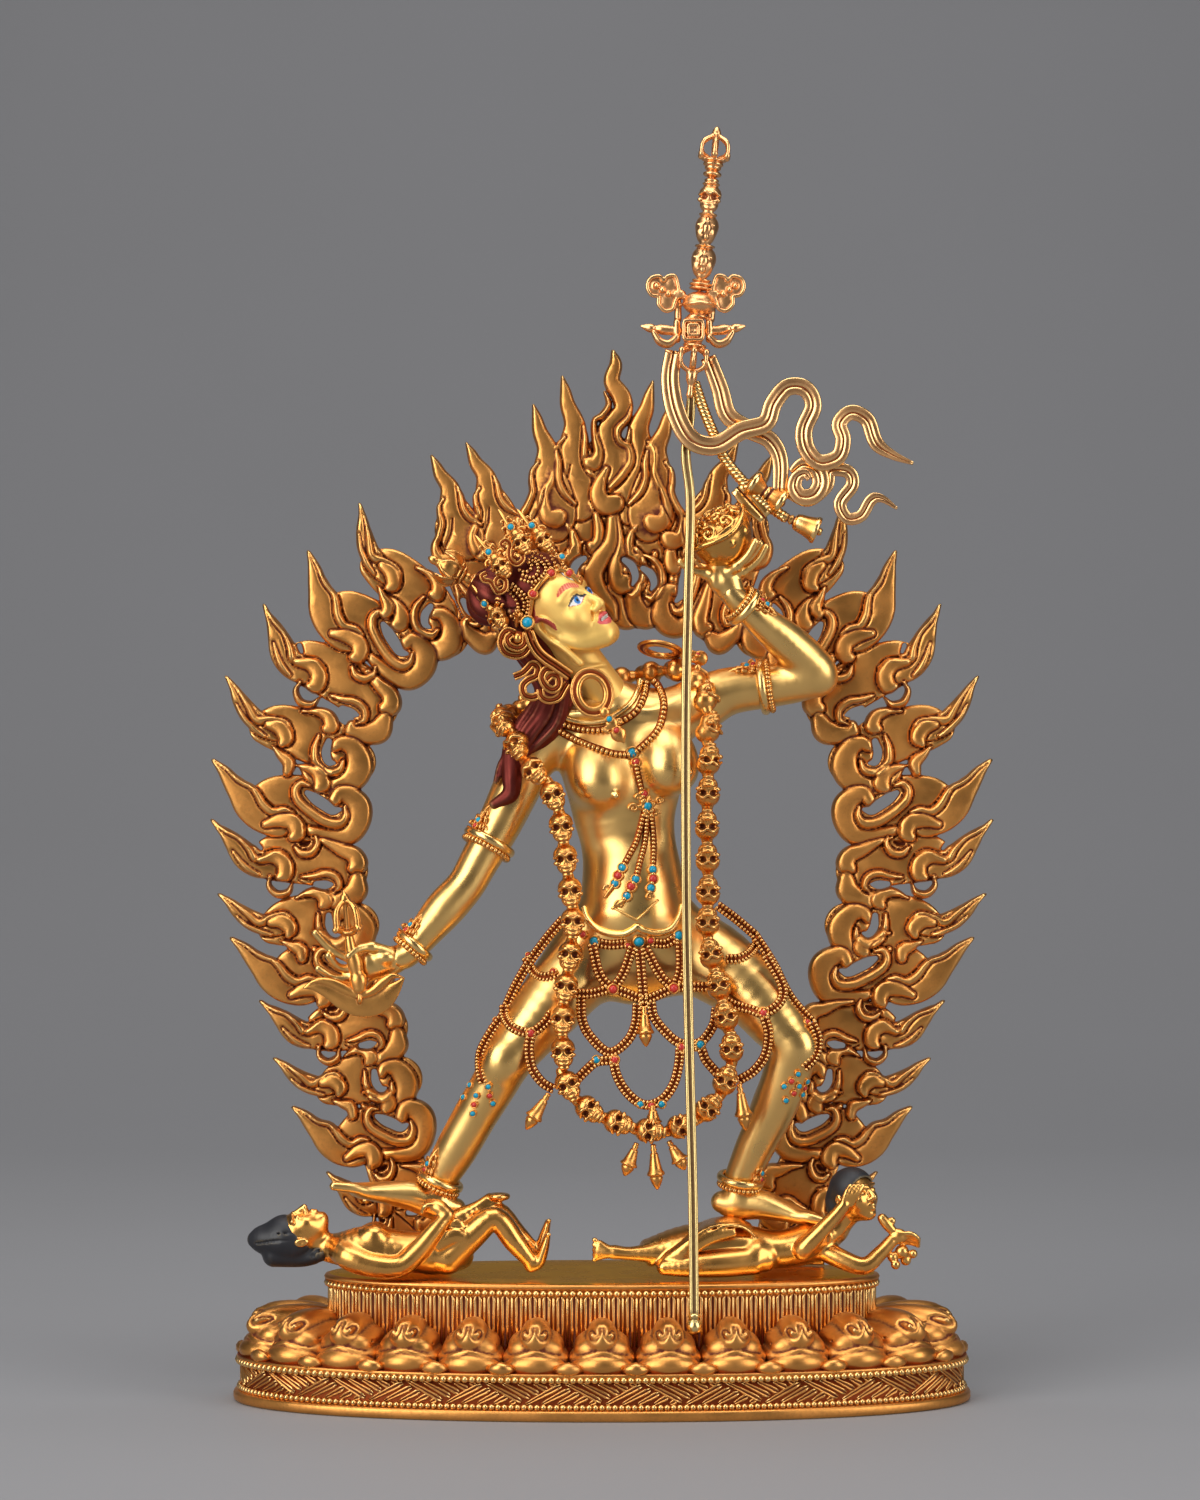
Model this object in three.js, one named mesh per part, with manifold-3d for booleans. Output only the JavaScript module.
// A gilded statue of a striding, garlanded goddess on an oval lotus base, with a pierced flame
// aureole behind her. Millimetres. X runs to the right, Y runs back, Z runs up, and the origin is
// the centre of the base's underside.

import Module from 'manifold-3d';
import * as THREE from 'three';
import { mergeVertices } from 'three/addons/utils/BufferGeometryUtils.js';

const wasm = await Module();
wasm.setup();

// Driving dimensions
const GAP = 0.3;
const BASE_HALF_WIDTH = 113.5;
const BASE_HALF_DEPTH = 49;
const DRUM_HALF_WIDTH = 84.5;
const DRUM_HALF_DEPTH = 31;
const PLATFORM_TOP = 38.7;
const OVAL_POWER = 2.2;
const PETALS = 26;
const REEDS = 20;
const FLUTE = 0.9;

const FLAME_FRONT = 13;
const FLAME_BACK = 18;
const LOBE_RADIUS = 8.6;
const HOLE_LENGTH = 6.2;
const HOLE_WIDTH = 3.1;

const HEAD_CENTRE = new THREE.Vector3(-11.5, -8, 241.6);
const HEAD_UP = new THREE.Vector3(-0.65, 0.02, 0.76).normalize();
const FACE_FORWARD = new THREE.Vector3(0.6, -0.6, 0.52);
const CROWN_AXIS = new THREE.Vector3(-0.79, 0.02, 0.58).normalize();

const SKULL_PITCH = 9.9;
const SKULL_RADIUS = 3.6;
const CORD_RADIUS = 1.25;
const APRON_CORD = 0.95;

const DEPTH = new THREE.Vector3(0, 1, 0);

// Gilding of the polished body, the duller flames and base, and the pale rod
const GOLD = { color: 0xd8a13a, roughness: 0.25, metalness: 1 };
const FLAME_GOLD = { color: 0xb9781f, roughness: 0.42, metalness: 1 };
const DARK_GOLD = { color: 0xa56a26, roughness: 0.4, metalness: 1 };
const FLESH_GOLD = { color: 0xc68a35, roughness: 0.35, metalness: 1 };

// A closed geometry as a solid that can be joined and cut
function solid(geometry) {
  const bare = new THREE.BufferGeometry();
  bare.setAttribute('position', geometry.getAttribute('position'));
  if (geometry.index) bare.setIndex(geometry.index);
  const merged = mergeVertices(bare, 1e-4);
  const vertProperties = new Float32Array(merged.getAttribute('position').array);
  const triVerts = new Uint32Array(merged.index.array);
  return new wasm.Manifold(new wasm.Mesh({ numProp: 3, vertProperties, triVerts }));
}

function join(solids) {
  return solids.reduce((whole, next) => whole.add(next));
}

// Only the largest body of a cut solid, without the crumbs that a cut leaves
function largest(cut) {
  return cut.decompose().reduce((best, next) => (next.volume() > best.volume() ? next : best));
}

function piece(name, shape, look) {
  const mesh = shape.getMesh();
  const geometry = new THREE.BufferGeometry();
  geometry.setAttribute('position', new THREE.BufferAttribute(new Float32Array(mesh.vertProperties), 3));
  geometry.setIndex(new THREE.BufferAttribute(new Uint32Array(mesh.triVerts), 1));
  geometry.computeVertexNormals();
  const made = new THREE.Mesh(geometry, new THREE.MeshStandardMaterial(look));
  made.name = name;
  return made;
}

// A closed tapering limb: a capped cylinder bent along a smooth path. Each station is
// [x, y, z, half width, half depth], and a section's depth side faces along the facing vector.
function limb(stations, { sides = 8, steps = 2 * stations.length - 2, grow = 0, facing = DEPTH } = {}) {
  const path = new THREE.CatmullRomCurve3(stations.map(([x, y, z]) => new THREE.Vector3(x, y, z)));
  const sizes = new THREE.CatmullRomCurve3(
    stations.map(([, , , width, depth = width]) => new THREE.Vector3(width, depth, 0)),
  );
  const shape = new THREE.CylinderGeometry(1, 1, 1, sides, steps);
  const position = shape.getAttribute('position');
  for (let i = 0; i < position.count; i += 1) {
    const t = 0.5 - position.getY(i);
    const ahead = path.getTangent(t);
    const across = new THREE.Vector3().crossVectors(ahead, facing).normalize();
    const deep = new THREE.Vector3().crossVectors(ahead, across);
    const size = sizes.getPoint(t);
    const point = path.getPoint(t);
    point.addScaledVector(across, position.getX(i) * (size.x + grow));
    point.addScaledVector(deep, position.getZ(i) * (size.y + grow));
    if (grow > 0 && (t < 1e-6 || t > 1 - 1e-6)) point.addScaledVector(ahead, t < 0.5 ? -grow : grow);
    position.setXYZ(i, point.x, point.y, point.z);
  }
  return solid(shape);
}

// A rounded lump, turned so that its third half size runs along the axis
function lump([x, y, z], [rx, ry, rz], options = {}) {
  const { sides = 8, rows = 5, grow = 0, axis = new THREE.Vector3(0, 0, 1) } = options;
  const shape = new THREE.SphereGeometry(1, sides, rows);
  shape.rotateX(Math.PI / 2);
  shape.scale(rx + grow, ry + grow, rz + grow);
  shape.applyQuaternion(new THREE.Quaternion().setFromUnitVectors(new THREE.Vector3(0, 0, 1), axis));
  shape.translate(x, y, z);
  return solid(shape);
}

// A turned shape on a slanting axis. The profile holds [radius, distance from the start].
function turned(profile, start, axis, sides = 8) {
  const points = profile.map(([radius, along]) => new THREE.Vector2(radius, along));
  const shape = new THREE.LatheGeometry(points, sides);
  shape.applyQuaternion(new THREE.Quaternion().setFromUnitVectors(DEPTH, axis.clone().normalize()));
  shape.translate(start.x, start.y, start.z);
  return solid(shape);
}

// A ring that hugs a limb: a torus around the limb's own axis
function ring(centre, axis, innerRadius, thickness, sides = 16) {
  const shape = new THREE.TorusGeometry(innerRadius + thickness, thickness, 4, sides);
  const turn = new THREE.Quaternion();
  turn.setFromUnitVectors(new THREE.Vector3(0, 0, 1), axis.clone().normalize());
  shape.applyQuaternion(turn);
  shape.translate(...centre);
  return solid(shape);
}

// Lotus base

function ovalPoint(halfWidth, angle) {
  const slope = (BASE_HALF_DEPTH - DRUM_HALF_DEPTH) / (BASE_HALF_WIDTH - DRUM_HALF_WIDTH);
  const onRing = DRUM_HALF_DEPTH + (halfWidth - DRUM_HALF_WIDTH) * slope;
  const inside = (halfWidth * DRUM_HALF_DEPTH) / DRUM_HALF_WIDTH;
  const halfDepth = halfWidth < DRUM_HALF_WIDTH ? inside : onRing;
  const power = 2 / OVAL_POWER;
  const x = halfWidth * Math.sign(Math.cos(angle)) * Math.abs(Math.cos(angle)) ** power;
  const y = halfDepth * Math.sign(Math.sin(angle)) * Math.abs(Math.sin(angle)) ** power;
  return [x, y];
}

// A lathe shape whose round section is pressed to the base's oval. The profile holds
// [half width, height, flute], where flute is how deep every second side is cut in at that row.
function ovalTurned(profile, sides) {
  const points = profile.map(([halfWidth, z]) => new THREE.Vector2(halfWidth, z));
  const shape = new THREE.LatheGeometry(points, sides);
  const position = shape.getAttribute('position');
  for (let i = 0; i < position.count; i += 1) {
    const side = Math.floor(i / profile.length);
    const [halfWidth, z, flute = 0] = profile[i % profile.length];
    const angle = (side / sides) * 2 * Math.PI;
    const [x, y] = halfWidth > 0 ? ovalPoint(halfWidth - (side % 2) * flute, angle) : [0, 0];
    position.setXYZ(i, x, y, z);
  }
  return solid(shape);
}

// Places at equal steps round the oval, each with its outward direction
function ovalSteps(halfWidth, count) {
  const fine = 720;
  const points = [];
  for (let i = 0; i <= fine; i += 1) {
    const [x, y] = ovalPoint(halfWidth, (i / fine) * 2 * Math.PI - Math.PI / 2);
    points.push(new THREE.Vector2(x, y));
  }
  const lengths = [0];
  for (let i = 1; i <= fine; i += 1) lengths.push(lengths[i - 1] + points[i].distanceTo(points[i - 1]));
  const steps = [];
  for (let k = 0; k < count; k += 1) {
    const wanted = (k / count) * lengths[fine];
    const i = Math.max(1, lengths.findIndex((length) => length > wanted));
    const along = points[i].clone().sub(points[i - 1]).normalize();
    steps.push({ place: points[i - 1], outward: new THREE.Vector2(along.y, -along.x) });
  }
  return steps;
}

// A swelling petal that points outward, longer at the ends of the oval
function petal({ place, outward }) {
  const reach = Math.abs(outward.x);
  const inset = 6 + 4 * reach;
  const shape = new THREE.SphereGeometry(1, 5, 4);
  shape.rotateX(Math.PI / 2);
  shape.scale(9.4, 9 + 5 * reach, 8.8);
  shape.rotateZ(Math.atan2(outward.y, outward.x) + Math.PI / 2);
  shape.translate(place.x - outward.x * inset, place.y - outward.y * inset, 19.6);
  return solid(shape);
}

function lotusBase() {
  const body = ovalTurned(
    [
      [0, 0],
      [BASE_HALF_WIDTH, 0],
      [BASE_HALF_WIDTH, 3.4],
      [111.4, 5],
      [113, 12.6],
      [102, 15],
      [DRUM_HALF_WIDTH, 27, FLUTE],
      [DRUM_HALF_WIDTH, 36, FLUTE],
      [DRUM_HALF_WIDTH + 1.4, 36.8],
      [DRUM_HALF_WIDTH, PLATFORM_TOP],
      [0, PLATFORM_TOP],
    ],
    2 * REEDS,
  );
  return join([body, ...ovalSteps(108.5, PETALS).map(petal)]);
}

// Flame aureole. Each flame of the right half has its tip and the place of its lobe on the
// inner edge, from the foot to the top, and the left half mirrors them.
const FLAMES = [
  { tip: [86, 67], lobe: [54, 62] },
  { tip: [96.7, 87.5], lobe: [59, 81] },
  { tip: [102.6, 102.3], lobe: [63, 97] },
  { tip: [107, 120.5], lobe: [67.5, 113] },
  { tip: [116, 140.3], lobe: [72.5, 129] },
  { tip: [120, 153.6], lobe: [76.5, 145] },
  { tip: [122.4, 177], lobe: [80, 162] },
  { tip: [122, 196], lobe: [80, 179] },
  { tip: [118, 221.7], lobe: [77.5, 196] },
  { tip: [106.2, 244.4], lobe: [70.5, 213] },
  { tip: [92.2, 261.2], lobe: [60, 227] },
  { tip: [76.6, 276], lobe: [48.5, 235.5] },
  { tip: [53.3, 291.8], lobe: [35, 240] },
  { tip: [42.4, 295.7], lobe: [23, 243] },
  { tip: [21.4, 307.6], lobe: [12, 244.5] },
];
const TOP_FLAMES = [
  { tip: [-12.4, 316.5], lobe: [-5, 245] },
  { tip: [3.5, 324.4], lobe: [0, 246] },
  { tip: [15.9, 315], lobe: [5, 245] },
];
const FLAME_LENGTH = 21;
const TOP_FLAME_LENGTH = 30;

function flameVectors({ tip, lobe }) {
  const end = new THREE.Vector2(...tip);
  const start = new THREE.Vector2(...lobe);
  const outward = end.clone().sub(start).normalize();
  const side = Math.sign(tip[0]) || 1;
  const upward = new THREE.Vector2(-outward.y * side, outward.x * side);
  const height = THREE.MathUtils.smoothstep(tip[1], 230, 300);
  const length = THREE.MathUtils.lerp(FLAME_LENGTH, TOP_FLAME_LENGTH, height);
  return { end, start, outward, upward, length };
}

// The curling tongue, drawn as an outline of two wavy sides that meet at the tip
function tongue(flame, front) {
  const { end, outward, upward, length } = flameVectors(flame);
  const steps = 4;
  const sides = [[], []];
  for (let i = 0; i <= steps; i += 1) {
    const t = i / steps;
    const wave = 2.6 * Math.sin(2 * Math.PI * (1 - t) * 0.95) * (1 - 0.3 * t) - 3.4 * (1 - t) ** 2;
    const half = 7.6 * (1 - t) ** 0.8 + 0.5;
    const middle = end.clone().addScaledVector(outward, -(1 - t) * length * 1.25);
    sides[0].push(middle.clone().addScaledVector(upward, wave + half));
    sides[1].unshift(middle.clone().addScaledVector(upward, wave - half));
  }
  return slab([...sides[0], ...sides[1]], front);
}

// A closed outline in the X Z plane, from a front depth to the plate's back
function slab(outline, front, back = FLAME_BACK) {
  const shape = new THREE.Shape(outline);
  const geometry = new THREE.ExtrudeGeometry(shape, { depth: back - front, bevelEnabled: false });
  geometry.rotateX(Math.PI / 2);
  geometry.translate(0, back, 0);
  return solid(geometry);
}

function disc([x, z], radius, sides = 6) {
  const points = [];
  for (let i = 0; i < sides; i += 1) {
    const angle = (i / sides) * 2 * Math.PI;
    points.push(new THREE.Vector2(x + radius * Math.cos(angle), z + radius * Math.sin(angle)));
  }
  return points;
}

// A bean-shaped hole that slants up across the plate
function hole(flame, where, size = 1) {
  const { end, start, outward, upward } = flameVectors(flame);
  const middle = start.clone().lerp(end, where);
  const points = [];
  const sides = 5;
  for (let i = 0; i < sides; i += 1) {
    const angle = (i / sides) * 2 * Math.PI;
    const along = HOLE_LENGTH * size * Math.cos(angle);
    const across = HOLE_WIDTH * size * Math.sin(angle) - (along * along) / 22;
    points.push(middle.clone().addScaledVector(outward, along * 0.75).addScaledVector(upward, across));
  }
  return slab(points, 0, 40);
}

function flameAureole() {
  const mirrored = FLAMES.map(({ tip, lobe }) => ({ tip: [-tip[0], tip[1]], lobe: [-lobe[0], lobe[1]] }));
  const flames = [...FLAMES, ...TOP_FLAMES, ...mirrored];
  const valley = (flame) => {
    const { end, outward, length } = flameVectors(flame);
    return end.clone().addScaledVector(outward, -length * 0.8);
  };
  const arch = [...FLAMES, ...[...TOP_FLAMES].reverse(), ...[...mirrored].reverse()];
  const foot = PLATFORM_TOP + GAP;
  const outer = [new THREE.Vector2(70, foot), ...arch.map(valley), new THREE.Vector2(-70, foot)];
  const inner = arch.map(({ lobe }) => new THREE.Vector2(...lobe)).reverse();
  const bandOutline = [...outer, new THREE.Vector2(-47, foot), ...inner, new THREE.Vector2(47, foot)];
  const band = slab(bandOutline, FLAME_FRONT);
  const tongues = flames.map((flame) => tongue(flame, FLAME_FRONT));
  const lobes = flames
    .filter(({ lobe }) => Math.abs(lobe[0]) > 2)
    .map(({ lobe }) => slab(disc(lobe, LOBE_RADIUS), FLAME_FRONT));
  const lowFlames = flames.filter(({ tip }) => tip[1] < 300);
  const holes = lowFlames.map((flame, i) => hole(flame, i % 2 ? 0.3 : 0.42));
  const highFlames = flames.filter(({ tip }, i) => tip[1] > 270 && i % 2);
  const upperHoles = highFlames.map((flame) => hole(flame, 0.62, 0.8));
  const below = solid(new THREE.BoxGeometry(300, 60, 80).translate(0, 20, foot - 40));
  const pierced = join([band, ...tongues, ...lobes]).subtract(join([...holes, ...upperHoles]));
  return largest(pierced.subtract(below));
}

// Figure. Sizes are half widths and half depths; grow makes the copy that neighbours are cut by.

function headPlace(forward, side, up) {
  const left = new THREE.Vector3().crossVectors(HEAD_UP, FACE_FORWARD).normalize();
  const place = HEAD_CENTRE.clone().addScaledVector(FACE_FORWARD, forward);
  place.addScaledVector(left, side).addScaledVector(HEAD_UP, up);
  return place.toArray();
}

function head(grow) {
  const options = { grow, sides: 8, rows: 5, axis: HEAD_UP };
  return [
    lump(headPlace(-1, 0, 2), [10.4, 10.8, 12], options),
    lump(headPlace(4, 0, -5), [7.6, 8, 11.5], options),
    limb(
      [
        [...headPlace(8.5, 0, -11), 4],
        [...headPlace(5.5, 0, -14), 4.5, 4.5],
        [...headPlace(1, 0, -12), 4],
      ],
      { grow, sides: 6, steps: 2 },
    ),
    limb(
      [
        [...headPlace(10, 0, 2), 1.2],
        [...headPlace(12.5, 0, -3.5), 1.8],
        [...headPlace(13, 0, -5), 2],
        [...headPlace(10, 0, -6), 1.4],
      ],
      { grow, sides: 4, steps: 3 },
    ),
    ...[-1, 1].map((side) =>
      limb(
        [
          [...headPlace(-1.5, side * 9.6, 1), 0.8, 1.2],
          [...headPlace(-2.5, side * 10.4, -3), 1.2, 3],
          [...headPlace(-1.5, side * 10, -9), 1, 1.8],
          [...headPlace(-0.5, side * 9.4, -15), 1, 1.4],
        ],
        { grow, sides: 4, steps: 3, facing: FACE_FORWARD },
      ),
    ),
  ];
}

function hair(grow) {
  return [
    lump([-33, -4, 247], [9, 8.6, 10], { grow, sides: 7, rows: 4 }),
    limb(
      [
        [-24, -6, 246, 12, 10],
        [-22, -3, 236, 10, 8],
        [-18, 3, 224, 8, 6],
        [-17, 4, 214, 9, 5],
        [-17, 4, 204, 9.5, 4.5],
        [-22, 3, 193, 5, 3.5],
        [-27, 2, 186, 3.4, 2.6],
        [-33, 1, 180, 0.8, 0.8],
      ],
      { grow, sides: 6, steps: 7 },
    ),
    limb(
      [
        [-23, -9, 233, 3, 2.4],
        [-17, -6, 226, 5, 3.4],
        [-16, -4, 221, 6.2, 3.4],
        [-21, -3, 216, 4.4, 2.6],
      ],
      { grow, sides: 6, steps: 3 },
    ),
  ];
}

function torso(grow) {
  const breast = { grow, sides: 7, rows: 4 };
  return [
    limb(
      [
        [-9, -5, 235, 6.4, 6],
        [-2, -1.5, 222, 6.3, 6],
        [3, 1, 213, 8, 6.6],
        [5, 1, 206, 12, 7],
      ],
      { grow, sides: 8, steps: 4 },
    ),
    limb(
      [
        [3, 1, 217, 6, 5],
        [4, 1, 212, 17, 7.5],
        [5.4, 1, 206, 22.5, 9],
        [6.2, 0.5, 198, 20.5, 10.5],
        [6.6, 0, 190, 18.4, 11],
        [6.8, 0, 181, 16.2, 10.8],
        [8, 0, 172, 14.9, 10],
        [9.2, -0.5, 163, 15.3, 10.8],
        [10, -1, 153, 16.5, 12],
        [10.5, -0.5, 144, 19.5, 12.6],
        [10.5, 1, 136, 21, 13],
        [10.5, 1, 129, 13, 9],
      ],
      { grow, sides: 9, steps: 8 },
    ),
    lump([0.4, -9, 190], [9.2, 10, 8.8], breast),
    lump([21, -9.5, 192.6], [8.6, 9.6, 8.4], breast),
  ];
}

function limbs(grow) {
  const thick = { grow, sides: 6, steps: 5 };
  return [
    limb(
      [
        [-13, 0, 206, 6],
        [-19, 0, 203, 8],
        [-24, -1, 193, 7.6],
        [-31, -3, 178, 6.8],
        [-38, -5, 165, 6.2],
        [-42, -6, 158, 6],
        [-48.2, -7, 151, 6.2],
        [-54, -8, 144, 5.2],
        [-59.4, -9, 137.4, 4.3],
        [-63, -9.5, 135.4, 4],
      ],
      { ...thick, steps: 7 },
    ),
    limb(
      [
        [20, 1, 209, 7],
        [31, 1, 214.5, 8],
        [40, 0, 218, 7.2],
        [52, -1, 219.5, 6.6],
        [62, -3, 221, 6.2],
        [67, -3.5, 223, 5],
      ],
      thick,
    ),
    limb(
      [
        [67.5, -3, 221, 4.4],
        [64.5, -4, 226, 6],
        [57, -7, 232.5, 6.2],
        [49, -10, 239, 5.2],
        [41, -12, 245.4, 4.3],
        [37.5, -12, 250, 4],
      ],
      thick,
    ),
    ...[
      [
        [-2, 1, 139, 13, 12],
        [-8, -2, 131, 12, 11.5],
        [-16, -6, 121.5, 10.6],
        [-24, -9.5, 111.5, 8.8],
        [-29.1, -11, 104.5, 7.8],
        [-33, -9.5, 97.5, 7.3],
        [-38.5, -7.5, 88, 6.8],
        [-44.5, -5.5, 77.5, 5.6],
        [-50.2, -4, 67.5, 4.7],
        [-50.6, -4, 61, 4.6],
      ],
      [
        [23, 1, 139, 13, 12],
        [33, -2, 135, 12.4, 11.5],
        [44.8, -7, 126.5, 10.6],
        [53, -11, 117, 9],
        [58, -13, 109.5, 7.6],
        [56.5, -11.5, 101, 7.4],
        [52.6, -9, 90, 6.9],
        [47, -6.5, 78, 5.6],
        [42.6, -4.5, 67.5, 4.8],
        [42, -4.5, 61, 4.8],
      ],
    ].map((leg) => limb(leg, { ...thick, sides: 7, steps: 7 })),
  ];
}

function feet(grow) {
  const flat = { grow, sides: 6, steps: 5 };
  return [
    limb(
      [
        [-45.6, -3.5, 57.6, 3.4, 3.6],
        [-49, -4, 58.4, 5.4, 4.6],
        [-56, -5, 60.6, 4.8, 5],
        [-64, -6, 62.2, 3.8, 5.4],
        [-72, -7, 64.2, 2.9, 6],
        [-79, -8, 65.8, 1.8, 5.2],
        [-81, -8, 66.2, 0.8, 3.6],
      ],
      flat,
    ),
    limb(
      [
        [37, -4.5, 58.4, 3, 3.6],
        [40, -4.5, 59.6, 5, 4.8],
        [47, -5.5, 60.4, 5.4, 5],
        [54.5, -7, 58.6, 3.9, 5.4],
        [60.5, -8, 57, 2.7, 5.8],
        [66, -9, 56, 1.9, 5],
        [67.6, -9, 55.8, 0.8, 3.4],
      ],
      flat,
    ),
  ];
}

function hands(grow) {
  const fine = { grow, sides: 4, steps: 2 };
  return [
    limb(
      [
        [-61, -9, 136, 3.6, 3],
        [-66, -10.5, 134.8, 4.8, 3],
        [-71.5, -11.5, 134.2, 4.4, 2.6],
      ],
      fine,
    ),
    limb(
      [
        [-66, -12, 138.4, 1.7],
        [-71.5, -14, 139.2, 1.6],
        [-76.5, -16.5, 138.2, 1.1],
      ],
      fine,
    ),
    limb(
      [
        [-70, -11.5, 135, 1.8],
        [-80, -12.5, 137, 1.6],
        [-87.5, -13, 143.5, 1],
      ],
      fine,
    ),
    limb(
      [
        [-70, -11, 133, 1.8],
        [-78.5, -11.5, 132.6, 1.6],
        [-83, -14, 136.6, 1.1],
      ],
      fine,
    ),
    limb(
      [
        [-69, -11, 131.6, 1.7],
        [-79, -11.5, 129.4, 1.5],
        [-86.5, -13, 132.6, 1],
      ],
      fine,
    ),
    limb(
      [
        [40, -12, 247, 4.2, 3.4],
        [37, -13, 252.4, 5.2, 3.2],
        [35, -13, 256, 5, 2.8],
      ],
      fine,
    ),
    ...[
      [
        [34, -14.5, 253, 1.7],
        [28.5, -15.5, 254.6, 1.5],
        [23.8, -16, 256.8, 1],
      ],
      [
        [35, -12.5, 254, 1.7],
        [30, -12, 256.4, 1.5],
        [26.2, -11.5, 260.4, 1],
      ],
      [
        [38, -11, 254, 1.7],
        [43, -10, 257, 1.6],
        [48.2, -10, 262.4, 1],
      ],
      [
        [38, -15, 254, 1.8],
        [42, -17, 257.4, 1.6],
        [46.4, -18.5, 262.6, 1],
      ],
    ].map((finger) => limb(finger, fine)),
  ];
}

function figure(grow = 0) {
  const trunk = [...torso(grow), ...head(grow), ...hair(grow)];
  return join([...trunk, ...limbs(grow), ...feet(grow), ...hands(grow)]);
}

// Trampled figures

function lyingMan() {
  const thin = { sides: 5, steps: 4 };
  return join([
    limb(
      [
        [-84, -14, 47.2, 3.6, 3.4],
        [-78, -14, 47.6, 5.4, 8],
        [-70, -14, 48, 7, 9],
        [-60, -13, 46.6, 6.2, 8],
        [-51, -12, 45.8, 6.4, 8.6],
        [-44, -11, 45.4, 4.6, 7],
      ],
      { sides: 6, steps: 4 },
    ),
    lump([-91.5, -14, 52], [8, 6.4, 6.8], { sides: 6, rows: 5 }),
    lump([-101, -14, 50.4], [6.4, 6.4, 5.6], { sides: 6, rows: 4 }),
    limb(
      [
        [-92, -14, 56, 1.6],
        [-89.4, -14, 59.6, 1.3],
        [-86.6, -14, 57, 1.2],
      ],
      { sides: 5, steps: 2 },
    ),
    limb(
      [
        [-78, -21, 46.4, 3.6],
        [-70, -23, 43.8, 3.6],
        [-61.6, -23, 43, 3.4],
        [-54, -22, 49, 3],
        [-46.6, -20, 57, 2.2],
        [-43.6, -18, 60.4, 2.2],
      ],
      { sides: 6, steps: 5 },
    ),
    limb(
      [
        [-47, -12, 56, 5, 6],
        [-41.6, -13, 57, 3.4, 5],
        [-38, -10, 59.6, 2.4, 3],
        [-34, -9, 62, 3.4, 3],
        [-30, -9, 62.6, 1.6, 2.4],
      ],
      thin,
    ),
    ...[
      [
        [-47, -16, 45, 5],
        [-39.6, -16, 52, 4.4],
        [-32.6, -16, 57, 3.6],
        [-26.6, -16, 50, 3.2],
        [-20.6, -16, 42.4, 2.3],
        [-18.6, -16, 45.6, 1.7],
        [-16.6, -16, 51.4, 1.2],
      ],
      [
        [-46, -8, 47, 5],
        [-38, -8, 53, 4.2],
        [-31, -8, 57.6, 3.4],
        [-24, -8.6, 51, 3],
        [-18, -9.6, 45.6, 2.3],
        [-15.6, -10, 49, 1.7],
        [-13.4, -10, 55.4, 1.2],
      ],
    ].map((leg) => limb(leg, { sides: 4, steps: 5 })),
  ]);
}

function crawlingMan() {
  const thin = { sides: 5, steps: 4 };
  const bowed = new THREE.Vector3(0.5, 0, 1).normalize();
  return join([
    limb(
      [
        [14, -10, 48, 2.6, 6],
        [24, -10, 48.6, 5.4, 8.4],
        [34, -9, 48.6, 7, 9],
        [44, -9, 48, 6.4, 8.6],
        [54, -9, 46.8, 5.8, 8],
        [64, -9.5, 49, 6.4, 8],
        [71, -10, 53, 4.6, 5],
      ],
      { sides: 6, steps: 4 },
    ),
    limb(
      [
        [68, -10, 51, 3.4],
        [74, -11.5, 57, 3.4],
        [76, -12, 61, 4],
      ],
      thin,
    ),
    lump([76.4, -12, 62.6], [6.6, 6.4, 8], { sides: 6, rows: 5, axis: bowed }),
    limb(
      [
        [26, -14, 46, 3.8],
        [16, -14.6, 46.4, 3],
        [6.6, -15, 46.4, 2.1],
        [1.6, -15, 46.6, 2.2],
        [-1.4, -15, 47, 3.6, 2],
      ],
      thin,
    ),
    limb(
      [
        [46, -16, 44, 4.4],
        [36, -18, 43.4, 4.2],
        [26, -18.5, 42.6, 3.4],
        [19, -18.5, 42.4, 2.4],
      ],
      thin,
    ),
    limb(
      [
        [66, -16, 50, 3.2],
        [60.5, -19, 47, 2.9],
        [67, -19.6, 54, 2.4],
        [73.4, -19.4, 61, 1.9],
        [76, -18.6, 64.4, 2.2],
      ],
      thin,
    ),
    limb(
      [
        [66, -12, 48, 3.4],
        [73, -16, 44, 2.9],
        [79.6, -17, 42.4, 2.6],
        [84.6, -16.6, 46, 2.2],
        [89, -16, 50.6, 2.2],
        [93.4, -16, 53.6, 2.4],
      ],
      thin,
    ),
    lump([91, -15.6, 46.6], [2.6, 2.4, 3.2], { sides: 6, rows: 4 }),
    lump([86.6, -15.6, 55.2], [2.6, 2.2, 2.2], { sides: 6, rows: 4 }),
  ]);
}

// Khatvanga staff with everything that hangs on it

const FINIAL_START = new THREE.Vector3(27, -15, 310.4);
const FINIAL_END = new THREE.Vector3(35.2, -13, 390.4);

function finial() {
  const axis = FINIAL_END.clone().sub(FINIAL_START);
  const bead = (at, radius, half) => [
    [radius * 0.5, at - half],
    [radius, at],
    [radius * 0.5, at + half],
  ];
  const profile = [
    [0, 0],
    ...bead(7.4, 4.3, 4.6),
    ...bead(16.4, 3, 3),
    ...bead(25.4, 4.4, 4.4),
    ...bead(36.8, 4.9, 5),
    ...bead(47.4, 4.7, 4.8),
    ...bead(57.4, 3.8, 4.2),
    ...bead(64, 2.5, 1.4),
    ...bead(72.4, 5, 5.4),
    [0.9, 79.4],
    [0, axis.length()],
  ];
  return turned(profile, FINIAL_START, axis, 6);
}

// A flat ribbon seen broadside, along points in the X Z plane
function ribbon(points, depth, halfWidth) {
  const last = points.length - 1;
  const stations = points.map(([x, z], i) => [x, depth, z, i === last ? 0.6 : halfWidth, 0.9]);
  return limb(stations, { sides: 4, steps: last });
}

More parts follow.
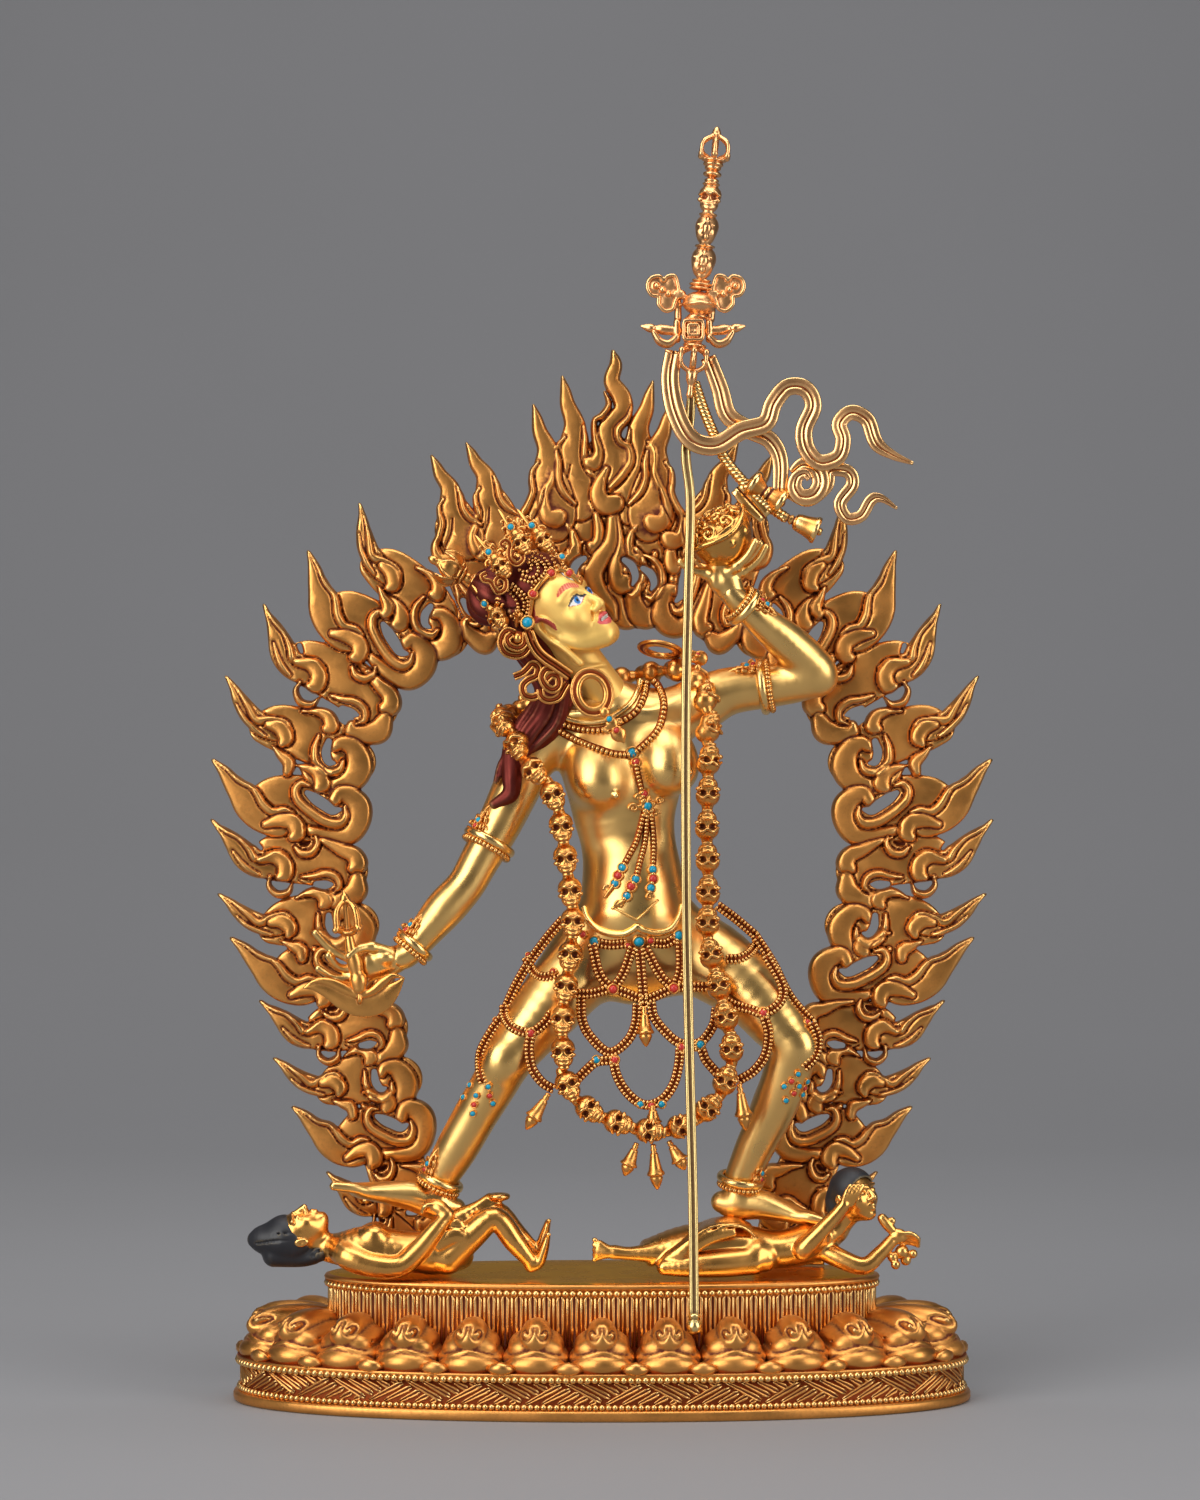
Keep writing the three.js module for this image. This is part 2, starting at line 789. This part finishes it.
function khatvangaStaff() {
  const rod = limb(
    [
      [27.6, -38.4, 27.5, 1.4],
      [27.3, -34.4, 65, 1.4],
      [26.4, -30, 105, 1.4],
      [25.6, -27.4, 145, 1.4],
      [25.3, -26, 185, 1.4],
      [25.5, -24, 218, 1.4],
      [26.4, -21.4, 255, 1.4],
      [26.9, -18.4, 276, 1.4],
      [25.4, -15.4, 292, 1.4],
      [27, -15, 312, 1.4],
    ],
    { sides: 4, steps: 9 },
  );
  const scarf = [
    [22, 321],
    [20.8, 312.7],
    [22.6, 302.6],
    [27.4, 293],
    [34.5, 292.5],
    [42.2, 296.4],
    [49, 299.3],
    [52.8, 306],
    [59.4, 310.4],
    [64.2, 304.4],
    [62, 296],
    [65.6, 288.6],
    [73, 291.6],
    [73.4, 299.6],
    [79.4, 302.4],
    [84, 293],
    [95, 287.1],
  ];
  const secondBand = [
    [32.4, 319.7],
    [36, 310.2],
    [38.5, 302],
    [45.2, 298],
    [51.3, 294.4],
    [54.4, 288.4],
    [55, 279],
  ];
  const lowerTail = [
    [54.6, 283],
    [60, 276.6],
    [67.6, 278.6],
    [72.4, 285.6],
    [75.6, 280.6],
    [73, 273.6],
    [77.6, 270.4],
    [84.4, 276.4],
    [90.2, 273.4],
  ];
  const rope = limb(
    [
      [29.4, -13.6, 310.7, 1.2],
      [34.2, -13, 296.3, 1.2],
      [37.6, -12, 288.7, 1.2],
      [43.5, -11, 281.6, 1.2],
      [50, -10, 276.4, 1.2],
      [57, -9.6, 270.6, 1.2],
    ],
    { sides: 5, steps: 5 },
  );
  const alongDrum = new THREE.Vector3(0.82, 0, -0.57);
  const drum = turned(
    [
      [0, 0],
      [4.2, 0],
      [4.2, 2],
      [1.9, 5.6],
      [4.2, 9.2],
      [4.2, 11.2],
      [0, 11.2],
    ],
    new THREE.Vector3(46, -10.4, 281.4),
    alongDrum,
    6,
  );
  const bell = turned(
    [
      [0, 0],
      [1.3, 0.6],
      [1.3, 4.6],
      [2.6, 6],
      [3.4, 10],
      [4.2, 13],
      [0, 13],
    ],
    new THREE.Vector3(54.6, -9.6, 271.4),
    new THREE.Vector3(0.92, 0, -0.39),
    6,
  );
  const prong = (side) =>
    limb(
      [
        [28, -14, 327, 2],
        [28 + side * 6, -14, 325, 2.4, 1.6],
        [28 + side * 11, -14, 327, 2, 1.4],
        [28 + side * 16, -14, 328.8, 0.5],
      ],
      { sides: 4, steps: 3 },
    );
  const leaf = (side) =>
    limb(
      [
        [28.8, -14, 336, 1.4],
        [28.8 + side * 5, -14, 335.4, 1.8, 1.2],
        [28.8 + side * 9, -14, 338.4, 3.4, 1.4],
        [28.8 + side * 10.6, -14, 342, 1.4, 1],
      ],
      { sides: 4, steps: 3 },
    );
  const knob = lump([27.6, -38.6, 28.2], [2.2, 2.2, 2.2], { sides: 6, rows: 4 });
  const curl = ring([62.7, -11, 282.3], DEPTH, 3, 1.5, 7);
  return join([
    finial(),
    rod,
    knob,
    rope,
    drum,
    bell,
    curl,
    ribbon(scarf, -13, 2.7),
    ribbon(secondBand, -12, 2.7),
    ribbon(lowerTail, -11, 2.2),
    ...[-1, 1].flatMap((side) => [prong(side), leaf(side)]),
  ]);
}

// Held things

function skullCup() {
  const axis = new THREE.Vector3(-0.48, -0.22, 0.85);
  return turned(
    [
      [0, 0],
      [5.4, 0.8],
      [9.4, 4.4],
      [11, 9.6],
      [10.8, 12.8],
      [6.6, 16.8],
      [0, 18.6],
    ],
    new THREE.Vector3(41.8, -10, 256.4),
    axis,
    9,
  );
}

function curvedKnife() {
  const outline = new THREE.Shape();
  outline.moveTo(-91.6, 128.6);
  outline.quadraticCurveTo(-85, 128.4, -76.6, 125.4);
  outline.quadraticCurveTo(-68, 128, -60, 131.2);
  outline.quadraticCurveTo(-63, 119, -72, 117.6);
  outline.quadraticCurveTo(-82, 118.4, -91.6, 128.6);
  const blade = new THREE.ExtrudeGeometry(outline, { depth: 1.6, bevelEnabled: false, curveSegments: 3 });
  blade.rotateX(Math.PI / 2);
  blade.translate(0, -14.6, 0);
  const grip = turned(
    [
      [0, 0],
      [2, 1],
      [1.5, 9],
      [1.8, 16.4],
      [4.6, 19],
      [4.2, 24],
      [1.2, 28.4],
      [0, 31.6],
    ],
    new THREE.Vector3(-74.6, -15.4, 125),
    new THREE.Vector3(-0.13, -0.02, 1),
    6,
  );
  return solid(blade).add(grip);
}

// Garland: a chain of round heads along a closed path, pinched between one head and the next
function skullGarland(grow = 0) {
  const route = [
    [-26.7, -9, 202],
    [-17.6, -14.5, 194.4],
    [-15, -16.6, 186],
    [-13.7, -17, 176],
    [-11, -17, 160],
    [-9.1, -17.6, 146.4],
    [-10.3, -19, 132.8],
    [-11.8, -20.4, 120.7],
    [-11.8, -21, 108.6],
    [-10.3, -21.6, 98.1],
    [-3.6, -22, 90.6],
    [6.1, -22, 86.4],
    [17.6, -22, 84.2],
    [28.8, -22, 88.3],
    [36.4, -21.6, 97.1],
    [39.2, -21, 108.6],
    [37.1, -20.4, 120.7],
    [34.7, -19, 131.3],
    [32.3, -17, 143.3],
    [32.3, -16.4, 160],
    [32, -16.4, 177],
    [32.4, -16, 192],
    [32.4, -13.4, 206],
    [31, -9, 217],
    [25, 1, 224],
    [14, 9.6, 223.4],
    [-2, 11.4, 220],
    [-16, 11, 216],
    [-27, 6, 211],
    [-30.4, -2, 206.4],
  ];
  const path = new THREE.CatmullRomCurve3(route.map((point) => new THREE.Vector3(...point)), true);
  const heads = Math.round(path.getLength() / SKULL_PITCH);
  const around = 5;
  const rows = 2;
  const shape = new THREE.TorusGeometry(1, 0.5, around, heads * rows);
  const position = shape.getAttribute('position');
  for (let i = 0; i < position.count; i += 1) {
    const column = i % (heads * rows + 1);
    const row = Math.floor(i / (heads * rows + 1));
    const t = (column / (heads * rows)) % 1;
    const angle = (row / around) * 2 * Math.PI;
    const radius = (column % rows === 0 ? CORD_RADIUS : SKULL_RADIUS) + grow;
    const ahead = path.getTangentAt(t);
    const upright = Math.abs(ahead.y) > 0.9 ? new THREE.Vector3(0, 0, 1) : DEPTH;
    const across = new THREE.Vector3().crossVectors(ahead, upright).normalize();
    const deep = new THREE.Vector3().crossVectors(ahead, across);
    const point = path.getPointAt(t);
    point.addScaledVector(across, radius * Math.cos(angle));
    point.addScaledVector(deep, -radius * Math.sin(angle));
    position.setXYZ(i, point.x, point.y, point.z);
  }
  return solid(shape);
}

// Apron: bead cords that hang in loops from the belt over the thighs, with small bells
function boneApron() {
  const cord = (points, radius = APRON_CORD) =>
    limb(
      points.map((point) => [...point, radius]),
      { sides: 3, steps: points.length - 1 },
    );
  const bell = (from, to) => {
    const start = new THREE.Vector3(...from);
    const axis = new THREE.Vector3(...to).sub(start);
    const long = axis.length();
    const profile = [
      [0, 0],
      [0.9, 0.4],
      [1.5, long * 0.5],
      [2.5, long * 0.72],
      [1.2, long * 0.8],
      [0, long],
    ];
    return turned(profile, start, axis, 5);
  };
  return join([
    cord([
      [-24, -8, 146],
      [-13, -15.4, 143],
      [-2.4, -16.8, 141.2],
      [11.3, -17, 140.2],
      [23.5, -16.4, 142],
      [34, -14.6, 143],
      [47, -8, 142.6],
    ], 1.3),
    cord([
      [-2.8, -16.6, 141],
      [-0.6, -17, 131.2],
      [3.4, -17, 126.9],
      [6.7, -17, 132.1],
      [8.2, -16.8, 141],
    ]),
    cord([
      [14.3, -16.8, 141],
      [17.7, -17, 131.2],
      [21.9, -17, 127.2],
      [23.8, -17, 132.7],
      [23.8, -16.4, 142],
    ]),
    cord([
      [11.8, -17, 141],
      [12.4, -17, 131],
      [12.8, -17, 121],
    ]),
    cord([
      [-31, -14, 124],
      [-27, -18.6, 115.4],
      [-21.3, -20.2, 113.4],
      [-15, -20.6, 119],
      [-7, -19, 125.8],
      [3.4, -17, 126.9],
      [12.6, -17, 124],
      [21.9, -17, 127.2],
      [32.9, -18.6, 127.4],
      [41, -19.6, 122.6],
      [49, -20.4, 119.7],
      [56, -19, 126],
      [53.6, -14.6, 134],
      [47, -8, 142.6],
    ]),
    cord([
      [-8, -19, 125.6],
      [-3.6, -18, 112.7],
      [2.1, -18, 107.8],
      [7.6, -18, 111.1],
      [11.4, -17, 124],
    ]),
    cord([
      [14, -17, 124],
      [18.9, -18, 114.8],
      [23.7, -18, 110.6],
      [30.4, -18, 111],
      [35.2, -18.8, 126.4],
    ]),
    cord([
      [-10, -21.6, 97.8],
      [-4.6, -19.4, 103],
      [3.7, -18, 106.6],
      [6, -18.4, 98.4],
      [14.6, -19, 92.6],
      [22.6, -18.4, 100],
      [24.6, -18, 109.6],
      [30, -18.4, 108.4],
      [36.6, -21.4, 98],
    ]),
    cord([
      [14.6, -19, 92.6],
      [15, -20.6, 88],
      [15.4, -21.6, 81],
    ]),
    cord([
      [-21.3, -20.2, 113.4],
      [-22.6, -20.8, 105.4],
      [-18.8, -20.8, 98.4],
      [-12, -21.4, 96],
    ]),
    cord([
      [49, -20.4, 119.7],
      [50.6, -20.4, 108.5],
      [46.5, -20.6, 101.6],
      [38, -21.6, 98],
    ]),
    cord([
      [-31, -14, 124],
      [-24.6, -10, 134],
      [-18.6, -17, 131],
      [-13, -15.4, 143],
    ]),
    bell([12.7, -17, 124], [13.4, -18, 110]),
    bell([-15.4, -21.2, 97.4], [-22.8, -21, 85.2]),
    bell([42.6, -21, 99.6], [43.8, -21, 84.6]),
    bell([15.4, -21.6, 83], [16.7, -22, 66.7]),
    bell([15, -21.6, 83], [7.4, -22, 71]),
    bell([16, -21.6, 83], [24.9, -22, 72.6]),
  ]);
}

// Crown: a flaring band round the head with five leaves, each over a small skull
function crown() {
  const base = new THREE.Vector3(...headPlace(0.6, 0, 8));
  const bandRadius = 11.6;
  const band = turned(
    [
      [bandRadius, 0],
      [bandRadius + 1.6, 0],
      [bandRadius + 5, 6],
      [bandRadius + 3.4, 6],
      [bandRadius, 0],
    ],
    base,
    CROWN_AXIS,
    12,
  );
  const leant = FACE_FORWARD.dot(CROWN_AXIS);
  const front = FACE_FORWARD.clone().addScaledVector(CROWN_AXIS, -leant).normalize();
  const side = new THREE.Vector3().crossVectors(CROWN_AXIS, front);
  const leaves = [-2, -1, 0, 1, 2].flatMap((k) => {
    const angle = k * 1.05;
    const out = front.clone().multiplyScalar(Math.cos(angle)).addScaledVector(side, Math.sin(angle));
    const along = (radius, up) => {
      return base.clone().addScaledVector(out, radius).addScaledVector(CROWN_AXIS, up).toArray();
    };
    const leaf = limb(
      [
        [...along(13.4, 2), 3, 1.2],
        [...along(15.6, 8), 4.4, 1.6],
        [...along(17.2, 14), 3.4, 1.4],
        [...along(18.6, 21), 0.7, 0.7],
      ],
      { sides: 4, steps: 3, facing: out },
    );
    return [leaf, lump(along(15.4, 7.5), [3.5, 3.5, 4], { sides: 5, rows: 3, axis: CROWN_AXIS })];
  });
  return join([band, ...leaves]);
}

function hairJewel() {
  return turned(
    [
      [0, 0],
      [3, 0.4],
      [3, 2],
      [1.8, 3.2],
      [5.6, 7.6],
      [5, 10.6],
      [2.2, 13.6],
      [2.4, 15.4],
      [0, 17.2],
    ],
    new THREE.Vector3(-39.8, -4, 252),
    new THREE.Vector3(-0.86, 0.02, 0.5),
    7,
  );
}

function earring(centre, axis, radius) {
  const hoop = ring(centre, axis, radius, 1.2, 10);
  const drop = limb(
    [
      [centre[0] + radius * 0.7, centre[1] - 1, centre[2] - radius * 0.7 - 0.6, 1.6, 1.4],
      [centre[0] + radius * 0.7 + 2.6, centre[1] - 1.6, centre[2] - radius - 3, 2.6, 1.6],
      [centre[0] + radius * 0.7 + 5, centre[1] - 2, centre[2] - radius - 7, 0.7, 0.7],
    ],
    { sides: 6 },
  );
  return hoop.add(drop);
}

// A ring on a limb with a pointed leaf standing up from it along the limb
function cuff(centre, axis, radius, leafSide, leafLength) {
  const along = axis.clone().normalize();
  const out = leafSide.clone().addScaledVector(along, -leafSide.dot(along)).normalize();
  const at = (outward, up) =>
    new THREE.Vector3(...centre).addScaledVector(out, outward).addScaledVector(along, up).toArray();
  const leaf = limb(
    [
      [...at(radius + 0.9, -0.5), 3.6, 0.9],
      [...at(radius + 1.3, leafLength * 0.4), 2.8, 0.9],
      [...at(radius + 1.5, leafLength), 0.5, 0.5],
    ],
    { sides: 4, steps: 2, facing: out },
  );
  return ring(centre, axis, radius, 1.4, 10).add(leaf);
}

// Assembly. Each piece that touches another is cut by a slightly grown copy of it.
const base = lotusBase();
const grownFigure = figure(GAP);
const raisedBase = base.translate([0, 0, GAP]);
const statue = new THREE.Group();

const staff = largest(khatvangaStaff().subtract(grownFigure).subtract(raisedBase));
const garland = largest(skullGarland().subtract(grownFigure));
const grownGarland = skullGarland(GAP);
const apron = largest(boneApron().subtract(grownFigure).subtract(grownGarland));
const cup = largest(skullCup().subtract(grownFigure));
const knife = largest(curvedKnife().subtract(grownFigure));
const crownCut = largest(crown().subtract(grownFigure));

const RINGS = [
  ['armlet_right', [-34.6, -4, 171.4], [-7, -2, -13], 7.2, [-1, -0.5, 0.2], 10],
  ['armlet_left', [49.6, -1, 219.2], [-12, 1, -1.6], 7.4, [0, -0.6, 1], 10],
  ['bracelet_right', [-57.4, -8.6, 139.8], [7, 1, 8.2], 5.3, [-1, -0.4, 1], 9],
  ['bracelet_left', [43.6, -11.4, 243.4], [9, 3, -7.4], 5.3, [0.6, -0.5, 1], 9],
  ['anklet_right', [-49.4, -4.2, 68.6], [6, -1.6, 10.6], 5.5, [-1, -0.5, 0.4], 9],
  ['anklet_left', [43, -4.8, 68.6], [4.6, -2, 10.6], 5.5, [1, -0.5, 0], 9],
];

statue.add(piece('lotus_base', base, FLAME_GOLD));
statue.add(piece('flame_aureole', largest(flameAureole().subtract(grownGarland)), FLAME_GOLD));
statue.add(piece('figure', figure(), GOLD));
const leftMan = largest(lyingMan().subtract(grownFigure).subtract(raisedBase));
const rightMan = largest(crawlingMan().subtract(grownFigure).subtract(raisedBase));
statue.add(piece('trampled_figure_left', leftMan, FLESH_GOLD));
statue.add(piece('trampled_figure_right', rightMan, FLESH_GOLD));
statue.add(piece('khatvanga_staff', staff, GOLD));
statue.add(piece('skull_cup', cup, GOLD));
statue.add(piece('curved_knife', knife, GOLD));
statue.add(piece('skull_garland', garland, DARK_GOLD));
statue.add(piece('bone_apron', apron, DARK_GOLD));
statue.add(piece('crown', crownCut, DARK_GOLD));
statue.add(piece('hair_jewel', largest(hairJewel().subtract(grownFigure)), GOLD));

const nearRing = earring([-1.6, -15.6, 214.6], new THREE.Vector3(0.25, -1, 0.1), 5.2);
const farRing = earring([20, -2, 226.4], new THREE.Vector3(0.25, 0.3, 1), 5.2);
statue.add(piece('earring_right', largest(nearRing.subtract(grownFigure).subtract(grownGarland)), GOLD));
statue.add(piece('earring_left', largest(farRing.subtract(grownFigure).subtract(grownGarland)), GOLD));

for (const [name, centre, axis, radius, leafSide, leafLength] of RINGS) {
  const leafWay = new THREE.Vector3(...leafSide);
  const band = cuff(centre, new THREE.Vector3(...axis), radius, leafWay, leafLength);
  statue.add(piece(name, largest(band.subtract(grownFigure)), DARK_GOLD));
}

export default statue;
